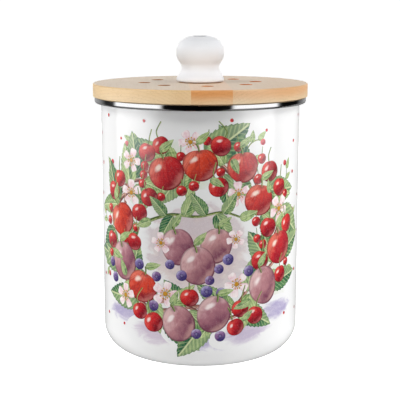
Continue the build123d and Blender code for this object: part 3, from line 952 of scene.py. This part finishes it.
paint("knob", make_porcelain())
paint("knob_pad", make_cork())
paint("seal_ring", make_plastic("silicone", (0.80, 0.81, 0.80), 700.0))
plastic = make_plastic("filter_plastic", (0.83, 0.83, 0.81))
paint("filter_ring", plastic)
paint("filter_cover", plastic)
paint("charcoal_filter", make_fleece())
zinc = make_metal("zinc_steel", (0.62, 0.64, 0.67), 0.32)
for n in ("knob_screw", "knob_washer", "filter_ring_screws"):
    paint(n, zinc)
paint("knob_insert", make_metal("brass", (0.78, 0.58, 0.27), 0.3))

# ------------------------------------------------------------------ camera
camera = bpy.data.objects.new("camera", bpy.data.cameras.new("camera"))
SCENE.collection.objects.link(camera)
camera.data.sensor_width = 36.0
camera.data.lens = 91.56
camera.data.clip_start, camera.data.clip_end = 0.05, 60.0
camera.location = (-0.0002, -0.8114, 0.27015)
camera.rotation_euler = (math.radians(90 - 10.565), 0, 0)
SCENE.camera = camera


# ------------------------------------------------------------------ studio
def flat_material(name, colour, strength=0.0, mix=1.0):
    mat = bpy.data.materials.new(name)
    mat.use_nodes = True
    p = mat.node_tree.nodes["Principled BSDF"]
    p.inputs["Base Color"].default_value = (*colour, 1)
    p.inputs["Roughness"].default_value = 0.9
    p.inputs["Specular IOR Level"].default_value = 0.1
    p.inputs["Emission Color"].default_value = (1, 1, 1, 1)
    p.inputs["Emission Strength"].default_value = strength
    return mat


def plane(name, size, z, mat):
    mesh = bpy.data.meshes.new(name)
    h = size / 2
    mesh.from_pydata([(-h, -h, z), (h, -h, z), (h, h, z), (-h, h, z)], [], [(0, 1, 2, 3)])
    mesh.materials.append(mat)
    o = bpy.data.objects.new(name, mesh)
    SCENE.collection.objects.link(o)
    o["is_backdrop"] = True
    return o


# the pale floor, bright enough to read as white, and a darker one under it that gives the bounce
floor = plane("floor", 3.4, -0.00005, flat_material("floor_white", (0.9, 0.9, 0.9), 0.86))
floor.visible_diffuse = floor.visible_glossy = floor.visible_transmission = floor.visible_shadow = False
bounce = plane("floor_bounce", 3.0, -0.004, flat_material("floor_bounce", (0.35, 0.35, 0.35)))
bounce.visible_camera = bounce.visible_glossy = False


def glow(radius, strength):
    """The floor lights the lower wall most close to the can, as a lit white table does."""
    n = 48
    mesh = bpy.data.meshes.new("floor_glow")
    ring = [(radius * math.cos(2 * math.pi * k / n), radius * math.sin(2 * math.pi * k / n), -0.003) for k in range(n)]
    mesh.from_pydata(ring, [], [tuple(range(n))])
    mesh.materials.append(flat_material("floor_glow", (0.35, 0.35, 0.35), strength))
    o = bpy.data.objects.new("floor_glow", mesh)
    SCENE.collection.objects.link(o)
    o.visible_camera = o.visible_glossy = False
    o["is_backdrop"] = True
    return o


glow(0.17, 0.47)

world = bpy.data.worlds.new("studio")
SCENE.world = world
world.use_nodes = True
world.node_tree.nodes["Background"].inputs["Color"].default_value = (1, 1, 1, 1)
world.node_tree.nodes["Background"].inputs["Strength"].default_value = 0.001


def backdrop():
    """A pale dome that the camera sees behind everything."""
    verts, faces = [], []
    n, rings, r = 48, 12, 8.0
    for i in range(rings + 1):
        e = math.radians(-12 + 102 * i / rings)
        for k in range(n):
            a = 2 * math.pi * k / n
            verts.append((r * math.cos(e) * math.cos(a), r * math.cos(e) * math.sin(a), r * math.sin(e)))
    for i in range(rings):
        for k in range(n):
            faces.append((i * n + k, i * n + (k + 1) % n, (i + 1) * n + (k + 1) % n, (i + 1) * n + k))
    mesh = bpy.data.meshes.new("backdrop")
    mesh.from_pydata(verts, [], faces)
    mesh.materials.append(flat_material("backdrop_white", (0.9, 0.9, 0.9), 1.0))
    o = bpy.data.objects.new("backdrop", mesh)
    SCENE.collection.objects.link(o)
    o.visible_diffuse = o.visible_glossy = o.visible_transmission = o.visible_shadow = False
    o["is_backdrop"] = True
    return o


backdrop()


def panel(name, azimuth, distance, width, low, high, radiance, tint=(1, 1, 1), lean=0.0):
    """A soft box. Azimuth 0 is in front of the can, 90 on its right."""
    a = math.radians(azimuth)
    light = bpy.data.lights.new(name, "AREA")
    light.shape = "RECTANGLE"
    light.size, light.size_y = width, high - low
    light.color = tint
    # radiance of a Lambertian panel: power = radiance * pi * area, and Blender's unit is that power
    light.energy = radiance * math.pi * width * (high - low)
    o = bpy.data.objects.new(name, light)
    SCENE.collection.objects.link(o)
    o.location = (distance * math.sin(a), -distance * math.cos(a), (low + high) / 2)
    target = Vector((0, 0, (low + high) / 2 - lean))
    o.rotation_mode = "QUATERNION"
    o.rotation_quaternion = (o.location - target).to_track_quat("Z", "Y")
    return o


def strip(name, start, end, low, high, radiance, distance=1.25, gloss=True):
    """A soft box between two azimuths."""
    width = 2 * distance * math.tan(math.radians((end - start) / 2))
    o = panel(name, (start + end) / 2, distance, width, low, high, radiance)
    o.visible_glossy = gloss
    return o


def link(light, names, state="INCLUDE"):
    """A light that falls on these pieces alone, or on everything but them."""
    lit = bpy.data.collections.new(light.name + "_" + state.lower())
    for n in names:
        lit.objects.link(PRINTED if n == "printed_design" else NODES[n])
    for entry in lit.collection_objects:
        entry.light_linking.link_state = state
    light.light_linking.receiver_collection = lit
    return light


BOARD = ["lid_stave_1", "lid_stave_2", "lid_stave_3"]
CAN = ["can_shell", "printed_design"]

# a bright box on each side with a dimmer wing towards the camera, a high one over each, and soft fill on the flanks
main = [
    strip("box_left_wing", -60, -36.7, -0.02, 0.5, 1.12),
    strip("box_left_low", -106, -60, -0.02, 0.5, 4.7),
    strip("box_right_wing", 32, 48, -0.02, 0.5, 1.12),
    strip("box_right_low", 48, 89.3, -0.02, 0.5, 4.9),
    strip("box_left_high", -88, -53, 1.2, 2.4, 11.6),
    strip("box_right_high", 46, 75, 1.2, 2.4, 12.9),
    strip("fill_left", -150, -106, 0.0, 1.5, 1.85, 1.3, False),
    strip("fill_right", 95, 145, 0.0, 1.5, 2.75, 1.3, False),
]
for light in main:
    low_box = light.name in ("box_left_low", "box_right_low")
    link(light, ["knob", "rim_band"] + CAN + (BOARD if low_box else []), "EXCLUDE")
link(panel("box_back", 180, 2.2, 2.6, 0.0, 1.6, 0.85), ["rim_band"], "EXCLUDE")

# the enamel's own share of them, and pale walls behind it that it mirrors at both edges
for name, start, end, low, high, radiance, distance, gloss in (
        ("can_left_back", -106, -86, -0.02, 0.5, 3.8, 1.25, True), ("can_left", -86, -60, -0.02, 0.5, 5.3, 1.25, True),
        ("can_left_wing", -60, -52, -0.02, 0.5, 3.8, 1.25, True), ("can_left_wing_2", -52, -45, -0.02, 0.5, 1.7, 1.25, True),
        ("can_right_wing", 40, 48, -0.02, 0.5, 2.3, 1.25, True), ("can_right_wing_2", 30, 40, -0.02, 0.5, 0.9, 1.25, True),
        ("can_right", 48, 89.3, -0.02, 0.5, 5.25, 1.25, True), ("can_left_high", -70, -53, 1.2, 2.4, 17.0, 1.25, True),
        ("can_right_high", 46, 60, 1.2, 2.4, 15.0, 1.25, True), ("can_right_high_2", 60, 75, 1.2, 2.4, 6.2, 1.25, True),
        ("can_fill_left", -150, -106, 0.0, 1.5, 2.4, 1.3, False), ("can_fill_right", 95, 145, 0.0, 1.5, 2.9, 1.3, False),
        ("can_wall_left", -176, -106, -0.3, 1.5, 0.40, 1.5, True), ("can_wall_right", 93, 176, -0.3, 1.5, 0.12, 1.5, True)):
    link(strip(name, start, end, low, high, radiance, distance, gloss), CAN)

# what the steel mirrors: by degrees from the front, a dark front, a bright box with soft ends, a dim room
MIRROR_LEFT = ((0, 0.001), (38, 0.004), (39.2, 0.10), (40.2, 0.35), (41.4, 0.75), (43, 1.10), (46, 1.30),
               (99, 1.34), (101, 1.0), (102.6, 0.55), (104.2, 0.18), (106.5, 0.05), (111, 0.03), (120, 0.025),
               (123, 0.06), (129.5, 0.165), (135.5, 0.27), (141, 0.34), (156, 0.41), (180, 0.50))
MIRROR_RIGHT = ((0, 0.001), (31.4, 0.004), (32.4, 0.10), (33.4, 0.40), (34.6, 0.80), (36, 1.10), (39, 1.28), (45, 1.32),
                (86.5, 1.34), (88.5, 1.0), (90.0, 0.50), (91.8, 0.18), (94, 0.04), (97, 0.003), (125.5, 0.003),
                (129.5, 0.07), (134.5, 0.15), (142, 0.24), (150.5, 0.38), (180, 0.50))


def steel_room():
    m = Mat("steel_room", roughness=1.0, specular=0.0)
    x, y, z = m.split(m.coords())
    turn = x.abs().math("ARCTAN2", y * -1.0) / math.pi
    sides = [m.ramp(turn, *((d / 180, (v / 2, v / 2, v / 2)) for d, v in stops)) for stops in (MIRROR_LEFT, MIRROR_RIGHT)]
    level = m.mix(x.step(-0.01, 0.01), *sides) * 2.0
    # the boxes end a little under the level of the rim and a little over it
    slope = (z - 0.2) / (x * x + y * y).sqrt()
    beyond = slope.step(-0.105, -0.145).max(slope.step(0.24, 0.32))
    m.shader.inputs["Base Color"].default_value = (0, 0, 0, 1)
    m.shader.inputs["Emission Color"].default_value = (1, 1, 1, 1)
    m.set("Emission Strength", level + (level.min(0.25) - level) * beyond)
    n, r = 96, 3.2
    verts = [(r * math.sin(2 * math.pi * k / n), -r * math.cos(2 * math.pi * k / n), h) for h in (-8, 9) for k in range(n)]
    mesh = bpy.data.meshes.new("steel_room")
    mesh.from_pydata(verts, [], [(k, (k + 1) % n, n + (k + 1) % n, n + k) for k in range(n)])
    mesh.materials.append(m.mat)
    o = bpy.data.objects.new("steel_room", mesh)
    SCENE.collection.objects.link(o)
    o.visible_camera = o.visible_diffuse = o.visible_transmission = o.visible_shadow = False
    o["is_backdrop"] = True
    return link(o, ["rim_band"])


steel_room()

# the board's edge has the low boxes at less strength
link(strip("board_left_low", -106, -60, -0.02, 0.5, 3.0), BOARD)
link(strip("board_right_low", 48, 89.3, -0.02, 0.5, 2.5), BOARD)
# the board's edge has its own low fill from the front, and the knob an even light from all round
link(strip("fill_board", -30, 30, 0.2, 1.0, 2.0, 1.6, False), BOARD)
for name, start, end, low, high, radiance, distance in (("knob_front", -30, 30, 0.5, 1.35, 6.0, 1.6),
                                                        ("knob_high_back", 140, 220, 1.0, 2.2, 0.6, 1.6),
                                                        ("knob_left", -150, -106, 0.0, 1.5, 4.1, 1.3),
                                                        ("knob_right", 95, 145, 0.0, 1.5, 3.7, 1.3),
                                                        ("knob_high_left", -70, -36.7, 1.2, 2.4, 2.4, 1.25),
                                                        ("knob_high_right", 32, 60, 1.2, 2.4, 0.8, 1.25)):
    link(strip(name, start, end, low, high, radiance, distance, False), ["knob"])

SCENE.view_settings.view_transform = "Standard"
SCENE.view_settings.look = "None"
SCENE.view_settings.exposure = 0.0

low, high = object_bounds()
{"cad": [list(cad_low), list(cad_high)], "visual": [list(low), list(high)]}
